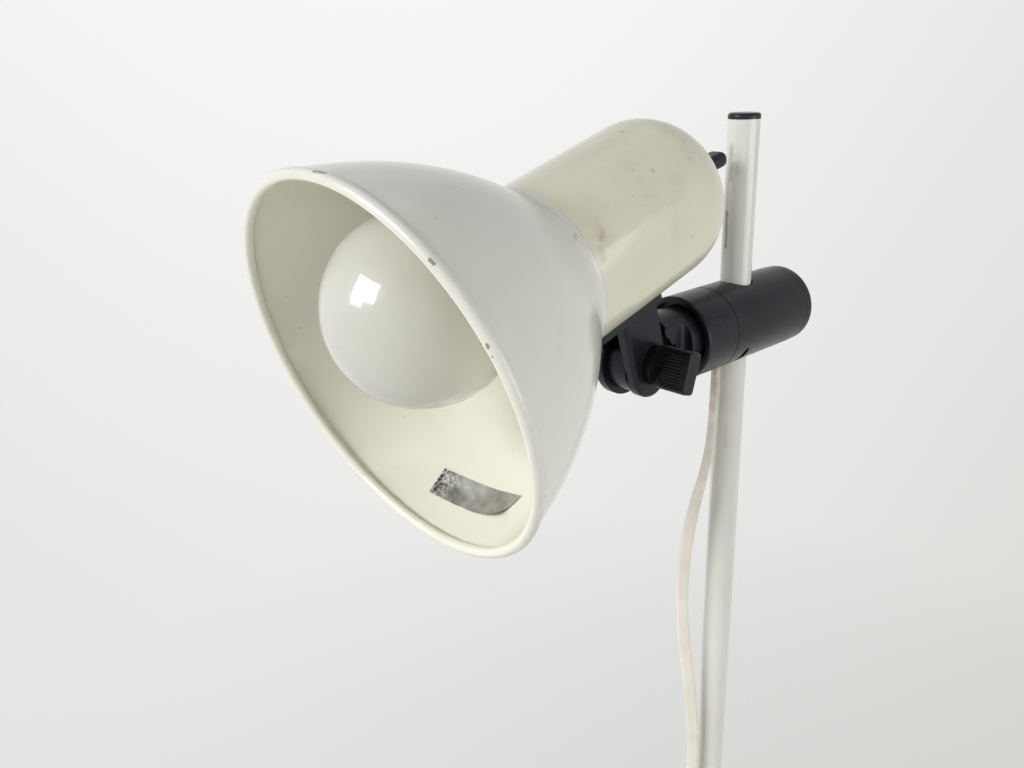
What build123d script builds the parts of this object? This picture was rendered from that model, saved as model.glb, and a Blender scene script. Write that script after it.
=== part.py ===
from build123d import *
import os
from math import atan2, cos, degrees, hypot, pi, radians, sin, sqrt, tan

os.makedirs("parts", exist_ok=True)

# Spot lamp on an upright pole. Millimetres, +Z up, origin on the pole axis at the face that rests on
# the table. The lamp points along -Y, its barrel clamp lies along Y and the wing knob is on the +X side.

# Whole lamp
total_height = 460.0
barrel_drop = 83.5          # top of the pole cap down to the barrel axis
overrun = 2.0               # what a cut runs past the face that it leaves
running_gap = 0.08          # radial clearance of pieces that turn or slide on each other
seat_gap = 0.05             # clearance of a piece in a fixed seat
thread_gap = 0.02           # radial clearance of a thread, which is drawn plain

# Base
base_radius = 90.0
base_height = 21.0
base_corner_radius = 8.0
base_wall = 1.5
pad_side_gap = 1.0          # pad's edge to the shell's inside
pad_thickness = 2.0
skirt_lift = 1.0            # table to the lower edge of the shell
weight_side_gap = 2.5       # weight's edge to the shell's inside
weight_thickness = 11.0
weight_boss_radius = 20.0
bolt_radius = 4.0
bolt_head_flats = 13.0
bolt_head_height = 5.3
bolt_recess_radius = 12.0
bolt_recess_depth = 8.0
base_washer_radius = 11.0
base_washer_thickness = 1.6
bolt_hole_gap = 0.3
insert_length = 18.0
bolt_reach = 16.0           # bolt length above the base shell

# Pole
pole_radius = 6.35
pole_wall = 1.0
cap_radius = 6.42
cap_head = 2.3
cap_edge = 1.2
cap_plug_length = 12.0
cap_plug_wall = 1.2

# Barrel clamp
barrel_radius = 16.9
barrel_front = 40.2         # pole axis to the collar's mouth
collar_length = 19.4
barrel_rear = 30.0          # pole axis to the end cap's seat
end_cap_thickness = 5.0
end_cap_radius = 16.7
end_cap_edge = 1.4
seam_chamfer = 0.35
mouth_edge = 0.9
spigot_radius = 15.3
spigot_length = 11.4
spigot_gap = 0.1
lip_length = 3.7
lip_bore_radius = 14.7
bush_radius = 9.22
bush_top = 12.8             # barrel axis to the bush's upper end
bush_bottom = 12.2
pole_hole_radius = 7.0
clip_thickness = 1.0
clip_width = 1.7
clip_mouth = 7.0
clip_gap = 0.15
chamber_radius = 11.0
chamber_start = 4.8
wire_bore_radius = 6.0
wire_bore_end = 6.5
pad_front = 6.7
pad_rear = 15.0
spring_disc_thickness = 1.0
spring_disc_cone = 0.7
spring_disc_radius = 9.5
spring_disc_bore = 4.5
spring_discs = 4
slot_centre = 11.2          # pole axis to the middle of the cord slot
slot_width = 4.0
slot_half_length = 15.2
slot_roof = 5.0             # barrel axis down to the slot's upper end

# Knuckle
stub_radius = 13.2
flange_radius = 15.3
flange_thickness = 3.0
flange_gap = 0.1
roll_washer_thickness = 1.0
roll_washer_bore = 7.0
roll_washer_radius = 15.1
knuckle_bore_radius = 5.0
knuckle_bore_end = 48.0
flat_start = 46.0           # pole axis to the rear end of the flats
flat_corner = 2.5
tongue_radius = 12.0
tongue_half = 4.3
relief_gap = 0.5            # round the cheeks' round ends
relief_line_gap = 0.9       # behind the cheeks' rear edges
relief_waist = 11.3         # what the near cheek's rear corner sweeps, with its gap
relief_step = 2.0           # hinge up to the top of the near cheek's wider sweep
knuckle_edge = 0.8

# Hinge and bracket
hinge_reach = 63.3          # pole axis forward to the hinge
hinge_drop = 3.0            # barrel axis down to the hinge
head_droop = 16.93          # degrees that the mouth points below level
hinge_back = 104.3          # mouth plane back to the hinge, along the head's axis
hinge_off = 55.5            # head axis down to the hinge
cheek_inner = 4.5
cheek_outer = 9.0
cheek_front = 11.5          # hinge forward to the cheek's front edge
cheek_rear = 7.6
cheek_drop = 12.3           # hinge down to the near cheek's lower end
far_cheek_radius = 14.5     # the cheek that holds the nut
cheek_edge = 1.7
shoe_front = 36.3           # hinge forward to the shoe's front end
shoe_rear = 8.7
shoe_half_width = 12.0
shoe_thickness = 3.5
shoe_corner = 3.0
stud_radius = 2.5
stud_reach = 8.0            # stud inside the wing knob, past its disc
nut_flats = 8.0
nut_thickness = 3.2
nut_recess = 3.5
knob_recess_radius = 7.6
knob_recess_depth = 1.6
hinge_washer_radius = 6.6
hinge_washer_thickness = 1.0
screw_rows = (20.3, 0.3)    # hinge forward to each bracket screw
screw_radius = 1.9
screw_head_radius = 3.2
screw_head_height = 1.8
screw_past_shoe = 0.6

# Wing knob
knob_disc_radius = 7.1
knob_disc_end = 12.0        # lamp's middle plane to the outer face of the disc
grip_length = 14.0
grip_height = 16.0
grip_thickness = 6.5
grip_corner = 1.6
grip_lean = 18.0            # degrees that the grip's top leans back
grip_panel_depth = 0.5
grip_panel_rim = 1.3
grip_panel_end = 2.7        # grip's outer end to the panel
grip_panel_start = 0.9
grip_panel_round = 8.2      # radius of the panel's inner end
grip_rib_pitch = 1.15
grip_rib_radius = 0.35
grip_ribs = 11

# Shade and housing
rim_radius = 62.5
bead_radius = 1.8
shade_mouth_radius = 63.6
shade_middle = 31.0         # mouth plane to the middle of the bell's curve
shade_middle_radius = 53.0
crease = 62.5               # mouth plane to the crease
crease_radius = 31.0
crease_fillet = 4.0
sheet = 0.8
housing_radius = 29.8
housing_length = 148.0      # mouth plane to the top of the dome
housing_corner_radius = 23.5
housing_dome_radius = 37.5
neck_length = 7.0
neck_seam = 4.6             # crease back to the housing's front edge

# Bulb line: lamp holder, switch and bulb on one line that leans up towards the mouth
bulb_line_lift = 1.0        # top of the dome to the line's zero
bulb_line_lean = 5.23       # degrees
bush_outer = 5.0
bush_back = 3.0
switch_front = 24.0
switch_back = 46.0
switch_body_radius = 15.0
switch_edge = 1.5
switch_nut_radius = 7.0
switch_nut_thickness = 2.6
switch_nut_lift = 0.15
holder_radius = 18.0
holder_wall = 4.0
holder_end = 80.0
holder_floor = 4.0
lamp_shell_bore = 13.4
lamp_shell_sheet = 0.5
lamp_shell_end = 78.0
contact_radius = 3.0
contact_thickness = 0.8
shaft_radius = 2.0
shaft_reach = 12.0
switch_knob_start = 4.0
switch_knob_end = 22.0
switch_knob_hub = 5.6
switch_knob_hub_length = 6.0
switch_knob_width = 8.4
switch_knob_thickness = 6.0
switch_knob_corner = 2.6
switch_knob_round = 2.5

# Bulb
bulb_radius = 30.15
bulb_centre = 128.8
bulb_wall = 0.9
bulb_neck_radius = 13.6
bulb_neck = 80.0
bulb_cap_radius = 13.2
bulb_cap_start = 54.5
bulb_cap_taper = 4.0
bulb_cap_floor_radius = 6.5
bulb_cap_sheet = 0.6
bulb_tip_radius = 4.6
bulb_tip = 51.1
stem_radius = 6.0
stem_length = 26.0
stem_flare = 11.0

# Cord, with its route in real places
cord_radius = 2.4
flat_cord_width = 5.6
flat_cord_thickness = 2.8
stub_rise = 13.0
exit_run = 25.0             # straight cord below the clamp
drop_route = (
    (-1.6, -12.3, 311.0), (-5.2, -16.3, 289.0), (-7.2, -18.4, 264.0),
    (-7.2, -18.5, 238.0), (-5.2, -16.3, 212.0), (-2.6, -13.4, 184.0), (-1.2, -12.0, 156.0),
    (-2.2, -13.0, 128.0), (-4.6, -15.6, 102.0),
)
lead_route = (
    (-6.4, -22.0, 76.0), (-8.6, -33.5, 54.5), (-11.0, -51.0, 40.5), (-12.9, -71.0, 33.5),
    (-13.8, -93.0, 29.0), (-14.0, -113.0, 19.5), (-13.9, -130.5, 8.5),
)
drop_end_share = 0.5        # of the run on which the hanging stretch ends
coil_run_in = 12.0
coil_centre = (18.2, -163.0)
coil_outer_radius = 31.9
coil_turn_step = 6.2
coil_layer_step = 5.6
coil_layers = 4
coil_layer_turns = 1.5
coil_lift = 3.6             # table to the middle of the lowest turn
tail_route = ((51.2, -137.5, 17.0), (55.0, -125.5, 10.5))
tie_sheet = 0.8
tie_gap = 0.3
tie_width = 4.0
plug_length = 24.0
plug_width = 21.0
plug_thickness = 13.0
plug_corner = 4.0
plug_start = (68.0, -106.5)
plug_turn = 52.0            # degrees from the X axis to the way the plug points
plug_run_in = 11.0
plug_tail_length = 14.0
plug_tail_radius = 4.6
blade_width = 6.3
blade_thickness = 1.5
blade_length = 17.0
blade_spacing = 12.7
blade_edge = 0.5

AXIS_X = Vector(1, 0, 0)
AXIS_Y = Vector(0, 1, 0)
AXIS_Z = Vector(0, 0, 1)

barrel_height = total_height - barrel_drop
hinge = Vector(0, -hinge_reach, barrel_height - hinge_drop)
head_back = Vector(0, cos(radians(head_droop)), sin(radians(head_droop)))
head_up = Vector(0, -sin(radians(head_droop)), cos(radians(head_droop)))
mouth = hinge + head_up * hinge_off - head_back * hinge_back
head_place = Plane(origin=mouth, x_dir=AXIS_X, z_dir=head_back)
lean = radians(bulb_line_lean)
bulb_way = head_up * sin(lean) - head_back * cos(lean)
bulb_line_root = housing_length + bulb_line_lift
bulb_root = mouth + head_back * bulb_line_root
bulb_place = Plane(origin=bulb_root, x_dir=AXIS_X, z_dir=bulb_way)
hinge_side = Plane(origin=hinge, x_dir=head_back, z_dir=AXIS_X)
hinge_level = Plane(origin=hinge, x_dir=AXIS_Y, z_dir=AXIS_X)


def rod(start, way, radius, length):
    """Round bar from start along way."""
    bar = Cylinder(radius, length, align=(Align.CENTER, Align.CENTER, Align.MIN))
    return Plane(origin=start, z_dir=way) * bar


def ring(start, way, radius, bore, length):
    """Tube or washer from start along way."""
    hole = rod(Vector(start) - Vector(way) * overrun, way, bore, length + overrun + overrun)
    return rod(start, way, radius, length) - hole


def upright(radius, low, high):
    """Round bar on the pole axis between two heights."""
    return rod(Vector(0, 0, low), AXIS_Z, radius, high - low)


def along_barrel(radius, front, rear):
    """Round bar on the barrel axis between two places along Y."""
    return rod(Vector(0, front, barrel_height), AXIS_Y, radius, rear - front)


def turned(outline, place):
    """Solid turned about the Z axis of place, from an outline of (radius, height)."""
    return place * revolve(Plane.XZ * make_face(outline), Axis.Z)


def arc_point(centre, radius, angle):
    """Point of a circle in an outline plane."""
    return (centre[0] + radius * cos(angle), centre[1] + radius * sin(angle))


def polygon(*points):
    return Polyline(*points, close=True)


barrel_place = Plane(origin=Vector(0, 0, barrel_height), x_dir=AXIS_X, z_dir=AXIS_Y)


def make_base():
    shell_bore = base_radius - base_wall
    pad = upright(shell_bore - pad_side_gap, 0, pad_thickness)
    weight_radius = shell_bore - weight_side_gap
    ceiling = base_height - base_wall
    corner = (base_radius - base_corner_radius, base_height - base_corner_radius)
    hole = bolt_radius + bolt_hole_gap
    outer_arc = ThreePointArc(
        (base_radius, corner[1]),
        arc_point(corner, base_corner_radius, pi / 4),
        (corner[0], base_height),
    )
    inner_arc = ThreePointArc(
        (corner[0], ceiling),
        arc_point(corner, base_corner_radius - base_wall, pi / 4),
        (shell_bore, corner[1]),
    )
    outline = (
        Polyline((shell_bore, corner[1]), (shell_bore, skirt_lift), (base_radius, skirt_lift),
                 (base_radius, corner[1]))
        + outer_arc
        + Polyline((corner[0], base_height), (hole, base_height), (hole, ceiling), (corner[0], ceiling))
        + inner_arc
    )
    shell = turned(outline, Plane.XY)
    recess_roof = pad_thickness + bolt_recess_depth
    weight_top = pad_thickness + weight_thickness
    weight = turned(
        polygon((hole, recess_roof), (bolt_recess_radius, recess_roof), (bolt_recess_radius, pad_thickness),
                (weight_radius, pad_thickness), (weight_radius, weight_top),
                (weight_boss_radius, weight_top), (weight_boss_radius, ceiling), (hole, ceiling)),
        Plane.XY,
    )
    washer_low = recess_roof - base_washer_thickness
    washer = ring(Vector(0, 0, washer_low), AXIS_Z, base_washer_radius, hole, base_washer_thickness)
    head_low = washer_low - bolt_head_height
    hexagon = RegularPolygon(bolt_head_flats / 2, 6, major_radius=False)
    head = Plane.XY.offset(head_low) * extrude(hexagon, amount=bolt_head_height)
    bolt = head + upright(bolt_radius, washer_low, base_height + bolt_reach)
    return {"base_pad": pad, "base_shell": shell, "base_weight": weight, "base_washer": washer,
            "base_bolt": bolt}


def make_pole():
    top = total_height - cap_head
    bore = pole_radius - pole_wall
    pole = ring(Vector(0, 0, base_height), AXIS_Z, pole_radius, bore, top - base_height)
    insert = ring(Vector(0, 0, base_height), AXIS_Z, bore - thread_gap, bolt_radius + thread_gap,
                  insert_length)
    plug_radius = bore - seat_gap
    cap = upright(cap_radius, top, total_height)
    cap = fillet(cap.edges().sort_by(Axis.Z)[-1], cap_edge)
    cap += upright(plug_radius, top - cap_plug_length, top)
    cap -= upright(plug_radius - cap_plug_wall, top - cap_plug_length - overrun, top)
    return {"pole": pole, "pole_insert": insert, "pole_cap": cap}


def make_clamp():
    seam = barrel_front - collar_length
    spigot_end = seam + spigot_length
    bush_bore = bush_radius + running_gap
    low = barrel_height - bush_bottom
    high = barrel_height + bush_top
    bush = ring(Vector(0, 0, low), AXIS_Z, bush_radius, pole_radius + running_gap, high - low)
    clip_high = low - clip_gap
    clip_low = clip_high - clip_thickness
    clip_outer = bush_bore + clip_width / 3
    clip = ring(Vector(0, 0, clip_low), AXIS_Z, clip_outer, clip_outer - clip_width, clip_thickness)
    clip_cut = Box(clip_mouth, clip_outer + overrun, clip_thickness + overrun,
                   align=(Align.CENTER, Align.MAX, Align.CENTER))
    clip -= Pos(0, 0, clip_low + clip_thickness / 2) * clip_cut
    groove = upright(clip_outer + seat_gap, clip_low - seat_gap, clip_high + seat_gap)

    body = along_barrel(barrel_radius, -seam, barrel_rear)
    ends = body.edges().filter_by(GeomType.CIRCLE)
    body = chamfer(ends, seam_chamfer)
    body += along_barrel(spigot_radius, -spigot_end, overrun - seam)
    body -= upright(bush_bore, barrel_height - barrel_radius - overrun, barrel_height + barrel_radius + overrun)
    body -= along_barrel(chamber_radius, chamber_start, barrel_rear + overrun)
    body -= along_barrel(wire_bore_radius, -spigot_end - overrun, -wire_bore_end)
    body -= groove
    slot = SlotOverall(slot_half_length + slot_half_length, slot_width)
    slot_floor = barrel_height - barrel_radius - overrun
    slot_depth = barrel_radius + overrun - slot_roof
    body -= Pos(0, -slot_centre, slot_floor) * extrude(slot, amount=slot_depth)

    collar_bore = spigot_radius + spigot_gap
    lip_end = barrel_front - lip_length
    edge_arc = ThreePointArc(
        (barrel_radius, mouth_edge - barrel_front),
        arc_point((barrel_radius - mouth_edge, mouth_edge - barrel_front), mouth_edge, -pi / 4),
        (barrel_radius - mouth_edge, -barrel_front),
    )
    outline = (
        Polyline((barrel_radius - mouth_edge, -barrel_front), (lip_bore_radius, -barrel_front),
                 (lip_bore_radius, -lip_end), (collar_bore, -lip_end), (collar_bore, -seam),
                 (barrel_radius - seam_chamfer, -seam), (barrel_radius, -seam - seam_chamfer),
                 (barrel_radius, mouth_edge - barrel_front))
        + edge_arc
    )
    collar = turned(outline, barrel_place)

    guide = upright(bush_bore - seat_gap, high + clip_gap, barrel_height + barrel_radius)
    guide &= along_barrel(barrel_radius, -barrel_front, barrel_rear)
    guide -= upright(pole_hole_radius, barrel_height, barrel_height + barrel_radius + overrun)

    pad = along_barrel(chamber_radius - running_gap, pad_front, pad_rear)
    pad -= upright(bush_bore, low - overrun, high + overrun)

    cone = spring_disc_cone
    step = spring_disc_thickness + spring_disc_cone + thread_gap
    discs = []
    for i in range(spring_discs):
        start = pad_rear + seat_gap + step * i
        inner = start + (cone if i % 2 == 0 else 0)
        outer = start + (0 if i % 2 == 0 else cone)
        discs.append(turned(
            polygon((spring_disc_bore, inner), (spring_disc_radius, outer),
                    (spring_disc_radius, outer + spring_disc_thickness),
                    (spring_disc_bore, inner + spring_disc_thickness)),
            barrel_place,
        ))
    stack = Compound(children=[disc.solid() for disc in discs])
    stack_end = pad_rear + seat_gap + step * spring_discs

    cap_face = barrel_rear + end_cap_thickness
    cap_arc = ThreePointArc(
        (end_cap_radius - end_cap_edge, cap_face),
        arc_point((end_cap_radius - end_cap_edge, cap_face - end_cap_edge), end_cap_edge, pi / 4),
        (end_cap_radius, cap_face - end_cap_edge),
    )
    plug_radius = chamber_radius - seat_gap
    cap = turned(
        Polyline((end_cap_radius, cap_face - end_cap_edge),
                 (end_cap_radius, barrel_rear + seat_gap + seam_chamfer),
                 (end_cap_radius - seam_chamfer, barrel_rear + seat_gap),
                 (plug_radius, barrel_rear + seat_gap), (plug_radius, stack_end), (0, stack_end),
                 (0, cap_face), (end_cap_radius - end_cap_edge, cap_face))
        + cap_arc,
        barrel_place,
    )
    return {"pole_bush": bush, "bush_clip": clip, "pole_guide": guide, "clamp_body": body, "collar": collar,
            "friction_pad": pad, "clamp_spring": stack, "end_cap": cap}


def make_knuckle():
    seam = barrel_front - collar_length
    spigot_end = seam + spigot_length
    lip_end = barrel_front - lip_length
    flange_front = lip_end - flange_gap
    flange_rear = flange_front - flange_thickness
    washer_rear = spigot_end + flange_gap
    front = hinge_reach + tongue_radius

    stub = along_barrel(stub_radius, -front, -flange_rear)
    flat_cut = Box(barrel_radius, front, barrel_radius * 3, align=(Align.MIN, Align.MAX, Align.CENTER))
    inner_edge = flat_cut.edges().filter_by(Axis.Z).sort_by(Axis.Y)[-2:].sort_by(Axis.X)[0]
    flat_cut = fillet(inner_edge, flat_corner)
    flat_cut = Pos(cheek_outer, -flat_start, barrel_height) * flat_cut
    stub -= flat_cut
    stub -= mirror(flat_cut, Plane.YZ)

    relief_line = cheek_rear + relief_line_gap
    reach = relief_line + front
    behind = Pos(relief_line - reach / 2, 0) * Rectangle(reach, barrel_radius * 4)
    sweep_radius = hypot(cheek_drop, (cheek_front - cheek_rear) / 2) + relief_gap
    lower = Pos(0, relief_step - sweep_radius) * Rectangle(reach * 2, sweep_radius + sweep_radius)
    near_relief = behind + Circle(relief_waist) + (Circle(sweep_radius) & lower)
    far_relief = behind + Circle(far_cheek_radius + relief_gap)
    near_relief = hinge_side * Pos(0, 0, tongue_half) * extrude(near_relief, amount=barrel_radius)
    far_relief = hinge_side * Pos(0, 0, -tongue_half) * extrude(far_relief, amount=-barrel_radius)
    stub -= near_relief
    stub -= far_relief

    link = hinge_reach - flat_start
    rise = sqrt(stub_radius ** 2 - tongue_half ** 2)
    tongue = hinge_level * Circle(tongue_radius)
    tongue += hinge_level * make_face(polygon(
        (0, tongue_radius), (link, rise + hinge_drop), (link, hinge_drop - rise), (0, -tongue_radius),
    ))
    tongue = extrude(Pos(-tongue_half, 0, 0) * tongue, amount=tongue_half + tongue_half, dir=(1, 0, 0))
    core = along_barrel(stub_radius, -hinge_reach, -flat_start)
    core -= hinge_level * extrude(Circle(tongue_radius), amount=barrel_radius, both=True)
    narrow = Pos(0, -hinge_reach, barrel_height) * Box(
        tongue_half + tongue_half, front + front, barrel_radius * 4)
    keep = extrude(hinge_level * (Circle(tongue_radius)
                   + make_face(polygon((0, tongue_radius), (front, tongue_radius + hinge_drop + hinge_drop),
                                       (front, -tongue_radius), (0, -tongue_radius)))),
                   amount=barrel_radius, both=True)
    stub_front = stub & along_barrel(barrel_radius, -front - overrun, -hinge_reach + link / 3)
    stub -= stub_front - keep
    knuckle = stub + tongue
    knuckle += along_barrel(flange_radius, -flange_front, -flange_rear)
    knuckle -= along_barrel(knuckle_bore_radius, -knuckle_bore_end, -flange_rear + overrun)
    stud_start = hinge - AXIS_X * barrel_radius
    knuckle -= rod(stud_start, AXIS_X, stud_radius + running_gap, barrel_radius * 2)
    washer = ring(Vector(0, -flange_rear + seat_gap, barrel_height), AXIS_Y, roll_washer_radius,
                  roll_washer_bore, roll_washer_thickness)
    return {"knuckle": knuckle, "roll_washer": washer}


def make_bracket():
    height = hinge_off - housing_radius
    span = cheek_front + cheek_rear
    middle = span / 2 - cheek_front
    round_drop = cheek_drop - span / 2
    near = Pos(middle, -round_drop) * Circle(span / 2)
    near += Pos(middle, (height - round_drop) / 2) * Rectangle(span, height + round_drop)
    far = Circle(far_cheek_radius) + Pos(middle, height / 2) * Rectangle(span, height)
    thickness = cheek_outer - cheek_inner
    near = Pos(0, 0, cheek_inner) * extrude(near, amount=thickness)
    near = fillet(near.faces().sort_by(Axis.Z)[-1].edges(), cheek_edge)
    far = Pos(0, 0, -cheek_outer) * extrude(far, amount=thickness)
    far = fillet(far.faces().sort_by(Axis.Z)[0].edges(), cheek_edge)
    cheeks = hinge_side * (near + far)

    shoe_length = shoe_front + shoe_rear
    inner = housing_radius + seat_gap
    outer = inner + shoe_thickness
    start = mouth + head_back * (hinge_back - shoe_front)
    strip = ring(start, head_back, outer, inner, shoe_length)
    block = Box(shoe_half_width * 2, outer, shoe_length, align=(Align.CENTER, Align.MIN, Align.MIN))
    upright_edges = block.edges().filter_by(Axis.Y)
    block = fillet(upright_edges, shoe_corner)
    block = Plane(origin=start, x_dir=AXIS_X, z_dir=head_back) * block
    shoe = strip & block
    bracket = cheeks - rod(start, head_back, inner, shoe_length)
    bracket += shoe

    stud_start = hinge - AXIS_X * barrel_radius
    bracket -= rod(stud_start, AXIS_X, stud_radius + running_gap, barrel_radius * 2)
    recess_floor = cheek_outer - knob_recess_depth
    bracket -= rod(hinge + AXIS_X * recess_floor, AXIS_X, knob_recess_radius, knob_recess_depth + overrun)
    nut_floor = cheek_outer - nut_recess
    nut_shape = RegularPolygon(nut_flats / 2, 6, major_radius=False)
    pocket_shape = RegularPolygon(nut_flats / 2 + seat_gap, 6, major_radius=False)
    far_side = Plane(origin=hinge - AXIS_X * nut_floor, x_dir=AXIS_Y, z_dir=-AXIS_X)
    bracket -= far_side * extrude(pocket_shape, amount=nut_recess + overrun)
    nut = far_side * extrude(nut_shape, amount=nut_thickness)
    nut -= rod(stud_start, AXIS_X, stud_radius + thread_gap, barrel_radius)
    washer = ring(hinge + AXIS_X * recess_floor, AXIS_X, hinge_washer_radius, stud_radius + running_gap,
                  hinge_washer_thickness)

    screws = []
    wall_bore = housing_radius - sheet
    head_seat = sqrt(wall_bore ** 2 - screw_head_radius ** 2)
    shank = outer + screw_past_shoe - head_seat
    for row in screw_rows:
        foot = mouth + head_back * (hinge_back - row) - head_up * head_seat
        bracket -= rod(foot, -head_up, screw_radius + thread_gap, shank + overrun)
        screw = rod(foot, head_up, screw_head_radius, screw_head_height)
        screw += rod(foot, -head_up, screw_radius, shank)
        screws.append(screw.solid())
    return {"bracket": bracket, "hinge_nut": nut, "hinge_washer": washer,
            "bracket_screws": Compound(children=screws)}


def make_wing():
    disc_start = cheek_outer - knob_recess_depth + hinge_washer_thickness + seat_gap
    disc = rod(hinge + AXIS_X * disc_start, AXIS_X, knob_disc_radius, knob_disc_end - disc_start)
    grip = Box(grip_thickness, grip_height, grip_length, align=(Align.CENTER, Align.CENTER, Align.MIN))
    lengthwise = grip.edges().filter_by(Axis.Z)
    grip = fillet(lengthwise, grip_corner)
    outer_edges = grip.faces().sort_by(Axis.Z)[-1].edges()
    grip = fillet(outer_edges, knuckle_edge)
    panel_end = grip_length - grip_panel_end
    panel_half = grip_height / 2 - grip_panel_rim
    panel = Pos(0, (grip_panel_start + panel_end) / 2) * Rectangle(
        panel_half + panel_half, panel_end - grip_panel_start)
    panel &= Pos(0, grip_panel_start + grip_panel_round) * Circle(grip_panel_round) + (
        Pos(0, (grip_panel_start + grip_panel_round + panel_end) / 2)
        * Rectangle(panel_half + panel_half, panel_end - grip_panel_start - grip_panel_round))
    floor = grip_thickness / 2 - grip_panel_depth
    for side in (-1, 1):
        face = Plane(origin=(side * floor, 0, 0), x_dir=AXIS_Y * side, z_dir=AXIS_X * side)
        well = face * extrude(panel, amount=grip_panel_depth + overrun)
        grip -= well
        for i in range(grip_ribs):
            height = grip_rib_pitch * (i - (grip_ribs - 1) / 2)
            rib = Cylinder(grip_rib_radius, grip_length, align=(Align.CENTER, Align.CENTER, Align.MIN))
            grip += (Pos(side * floor, height, 0) * rib) & well
    grip = Plane(origin=hinge + AXIS_X * knob_disc_end, x_dir=AXIS_Y, z_dir=AXIS_X) * Rot(0, 0, -grip_lean) * grip
    knob = disc + grip
    stud_end = knob_disc_end + stud_reach
    knob -= rod(hinge, AXIS_X, stud_radius + thread_gap, stud_end)
    stud_start = cheek_outer - nut_recess + nut_thickness
    stud = rod(hinge - AXIS_X * stud_start, AXIS_X, stud_radius, stud_start + stud_end)
    return {"wing_knob": knob, "wing_stud": stud}


def bell_circle():
    """Centre and radius of the arc of the bell's outside, in the (radius, height) plane."""
    x1, y1 = shade_mouth_radius, 0
    x2, y2 = shade_middle_radius, shade_middle
    x3, y3 = crease_radius, crease
    d = 2 * (x1 * (y2 - y3) + x2 * (y3 - y1) + x3 * (y1 - y2))
    s1, s2, s3 = x1 ** 2 + y1 ** 2, x2 ** 2 + y2 ** 2, x3 ** 2 + y3 ** 2
    cx = (s1 * (y2 - y3) + s2 * (y3 - y1) + s3 * (y1 - y2)) / d
    cy = (s1 * (x3 - x2) + s2 * (x1 - x3) + s3 * (x2 - x1)) / d
    return (cx, cy), hypot(x1 - cx, y1 - cy)


def bell_side(inset):
    """Bell arc and crease arc at a depth under the outside, from the mouth to the neck."""
    centre, radius = bell_circle()
    bell = radius - inset
    neck = housing_radius - inset
    crease_arc = crease_fillet + inset
    cx = neck + crease_arc
    reach = bell + crease_arc
    cy = centre[1] + sqrt(reach ** 2 - (cx - centre[0]) ** 2)
    join_angle = atan2(cy - centre[1], cx - centre[0])
    start_angle = atan2(0 - centre[1], sqrt(bell ** 2 - centre[1] ** 2))
    join = arc_point(centre, bell, join_angle)
    start = arc_point(centre, bell, start_angle)
    end = (neck, cy)
    bell_arc = ThreePointArc(start, arc_point(centre, bell, (start_angle + join_angle) / 2), join)
    small_arc = ThreePointArc(join, arc_point((cx, cy), crease_arc, (join_angle + pi + pi) / 2), end)
    return bell_arc, small_arc, start, end


def dome_side(inset):
    """Corner arc and dome arc of the housing at a depth under the outside."""
    side = housing_radius - inset
    corner = housing_corner_radius - inset
    dome = housing_dome_radius - inset
    dome_centre = (0, housing_length - housing_dome_radius)
    offset = housing_radius - housing_corner_radius
    gap = housing_dome_radius - housing_corner_radius
    corner_centre = (offset, dome_centre[1] + sqrt(gap ** 2 - offset ** 2))
    angle = atan2(corner_centre[1] - dome_centre[1], corner_centre[0])
    start = (side, corner_centre[1])
    join = arc_point(dome_centre, dome, angle)
    top = (0, dome_centre[1] + dome)
    corner_arc = ThreePointArc(start, arc_point(corner_centre, corner, angle / 2), join)
    dome_arc = ThreePointArc(join, arc_point(dome_centre, dome, (angle + pi / 2) / 2), top)
    return corner_arc, dome_arc, start, top


def make_shell():
    seam = crease + neck_seam
    neck_outer = housing_radius - sheet - seat_gap
    neck_end = seam + neck_length
    bell_out, small_out, start_out, end_out = bell_side(0)
    bell_in, small_in, start_in, end_in = bell_side(sheet)
    outline = (
        Line(start_in, start_out) + bell_out + small_out
        + Polyline(end_out, (housing_radius, seam - seat_gap), (neck_outer, seam - seat_gap),
                   (neck_outer, neck_end), (neck_outer - sheet, neck_end), (neck_outer - sheet, seam - sheet),
                   (housing_radius - sheet, seam - sheet - sheet), end_in)
        + small_in + bell_in
    )
    shade = turned(outline, head_place)
    shade += head_place * Torus(rim_radius, bead_radius)

    corner_out, dome_out, side_out, top_out = dome_side(0)
    corner_in, dome_in, side_in, top_in = dome_side(sheet)
    outline = (
        Polyline(side_in, (housing_radius - sheet, seam), (housing_radius, seam), side_out)
        + corner_out + dome_out + Line(top_out, top_in) + dome_in + corner_in
    )
    housing = turned(outline, head_place)
    housing -= rod(bulb_root - bulb_way * bush_back, bulb_way, bush_outer + seat_gap, switch_front)
    for row in screw_rows:
        foot = mouth + head_back * (hinge_back - row)
        housing -= rod(foot, -head_up, screw_radius + running_gap, housing_radius + overrun)
    return {"shade": shade, "housing": housing}


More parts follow.
